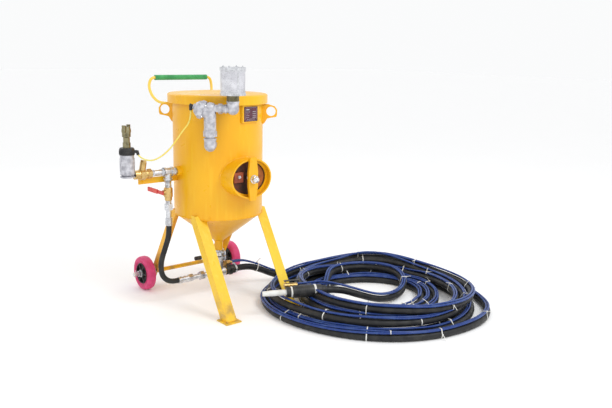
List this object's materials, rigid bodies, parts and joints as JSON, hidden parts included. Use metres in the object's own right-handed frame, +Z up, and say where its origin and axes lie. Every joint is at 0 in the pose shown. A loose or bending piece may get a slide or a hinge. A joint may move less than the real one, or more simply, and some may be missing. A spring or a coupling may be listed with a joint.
{
  "type": "abrasive blasting pot",
  "caption": "Wheeled abrasive blasting pot: pressure vessel with cone, lid and hand hole on angle-iron legs, with air and exhaust valves, silencer, coiled blast hose, control lines and nozzle.",
  "frame": {"origin": "bottom centre of the machine without its loose hoses, on the ground", "axes": "+X the machine's right-hand side, +Y the rear with wheels and handle, +Z up"},
  "size_m": [1.879, 1.727, 1.32],
  "materials": {
    "body_paint": "semi-gloss orange-yellow enamel",
    "handle_paint": "semi-gloss pale yellow enamel",
    "inner_steel": "dull primer",
    "foam_grip": "matt green foam",
    "seal_rubber": "black rubber",
    "hose_rubber": "matt black rubber",
    "line_rubber": "satin blue hose",
    "wheel_tyre": "matt coloured solid tyre",
    "wheel_rim": "black moulded rim",
    "zinc": "zinc-plated steel",
    "cast_alloy": "cast grey alloy",
    "chrome": "bright chrome",
    "brass": "bare brass",
    "red_lever": "red dipped lever",
    "black_part": "black moulding",
    "plate_print": "dark printed plate",
    "yellow_tube": "thin yellow tube",
    "nozzle_white": "white nozzle jacket"
  },
  "bodies": {
    "pot": {"air_valve_body": "cast_alloy", "air_valve_cap": "black_part", "axle": "body_paint", "axle_nuts": "zinc", "ball_valve_body": "brass", "blast_hose_coupling": "black_part", "blast_hose_runs": "hose_rubber", "blast_tee": "zinc", "claw_coupling": "chrome", "control_line_bracket": "brass", "control_line_runs": "line_rubber", "control_tube": "yellow_tube", "control_tube_fittings": "black_part", "deadman_body": "brass", "exhaust_elbow": "cast_alloy", "exhaust_valve_body": "cast_alloy", "exhaust_valve_bonnet": "cast_alloy", "fill_seal_ring": "seal_rubber", "front_legs": "body_paint", "hand_hole_cover": "body_paint", "hand_hole_gasket": "seal_rubber", "hand_hole_neck": "body_paint", "handle_grip": "foam_grip", "handle_tube": "handle_paint", "hose_coil": "hose_rubber", "inlet_nipples": "zinc", "inlet_support": "body_paint", "inlet_tee": "zinc", "inlet_union": "brass", "inner_air_pipe": "inner_steel", "lifting_lugs": "body_paint", "metering_valve_body": "zinc", "name_plate": "plate_print", "nozzle": "nozzle_white", "nozzle_holder": "black_part", "pusher_hose": "hose_rubber", "pusher_hose_ends": "zinc", "rear_legs": "body_paint", "silencer_body": "zinc", "silencer_caps": "zinc", "silencer_elbow": "cast_alloy", "top_head": "body_paint", "vessel_cone": "body_paint", "vessel_shell": "body_paint"},
    "lid": {"lid": "body_paint"},
    "popup_valve": {"popup_valve": "inner_steel"},
    "left_wheel": {"left_wheel_rim": "wheel_rim", "left_wheel_tyre": "wheel_tyre", "left_wheel_bushes": "zinc"},
    "right_wheel": {"right_wheel_rim": "wheel_rim", "right_wheel_tyre": "wheel_tyre", "right_wheel_bushes": "zinc"},
    "hand_hole_nut": {"hand_hole_nut": "chrome"},
    "hand_hole_crossbar": {"hand_hole_crossbar": "body_paint"},
    "ball_valve": {"ball_valve_ball": "chrome", "ball_valve_lever": "red_lever"},
    "metering_lever": {"metering_valve_lever": "black_part"},
    "exhaust_plug": {"exhaust_valve_plug": "inner_steel"},
    "air_piston": {"air_valve_piston": "inner_steel"},
    "deadman_lever": {"deadman_lever": "black_part"}
  },
  "joints": [
    {"name": "lid_lift", "type": "slide", "parent": "pot", "child": "lid", "axis": [0, 0, 1], "range_m": [0, 0.12]},
    {"name": "popup_rise", "type": "slide", "parent": "pot", "child": "popup_valve", "axis": [0, 0, 1], "range_m": [0, 0.018]},
    {"name": "left_wheel_spin", "type": "hinge", "parent": "pot", "child": "left_wheel", "pos_m": [-0.189, 0.345, 0.1], "axis": [1, 0, 0], "continuous": true},
    {"name": "right_wheel_spin", "type": "hinge", "parent": "pot", "child": "right_wheel", "pos_m": [0.413, 0.345, 0.1], "axis": [1, 0, 0], "continuous": true},
    {"name": "crossbar_swing", "type": "hinge", "parent": "pot", "child": "hand_hole_crossbar", "pos_m": [0.112, -0.324, 0.735], "axis": [0, -1, 0], "range_deg": [-100, 100]},
    {"name": "hand_nut_turn", "type": "hinge", "parent": "pot", "child": "hand_hole_nut", "pos_m": [0.112, -0.347, 0.735], "axis": [0, -1, 0], "continuous": true},
    {"name": "ball_valve_turn", "type": "hinge", "parent": "pot", "child": "ball_valve", "pos_m": [-0.211, 0.008, 0.645], "axis": [-1, 0, 0], "range_deg": [0, 90]},
    {"name": "metering_turn", "type": "hinge", "parent": "pot", "child": "metering_lever", "pos_m": [0.112, 0.036, 0.2365], "axis": [0, 0, 1], "range_deg": [0, 65]},
    {"name": "exhaust_plug_slide", "type": "slide", "parent": "pot", "child": "exhaust_plug", "axis": [-0.7099, 0.6063, 0.3584], "range_m": [0, 0.012]},
    {"name": "air_piston_slide", "type": "slide", "parent": "pot", "child": "air_piston", "axis": [0, 0, 1], "range_m": [0, 0.02]},
    {"name": "deadman_press", "type": "hinge", "parent": "pot", "child": "deadman_lever", "pos_m": [0.21984, -0.4736, 0.184], "axis": [0.4222, 0.9065, 0], "range_deg": [0, 6.5], "stiffness_Nm_per_rad": 0.05, "springref_deg": -17.19}
  ]
}
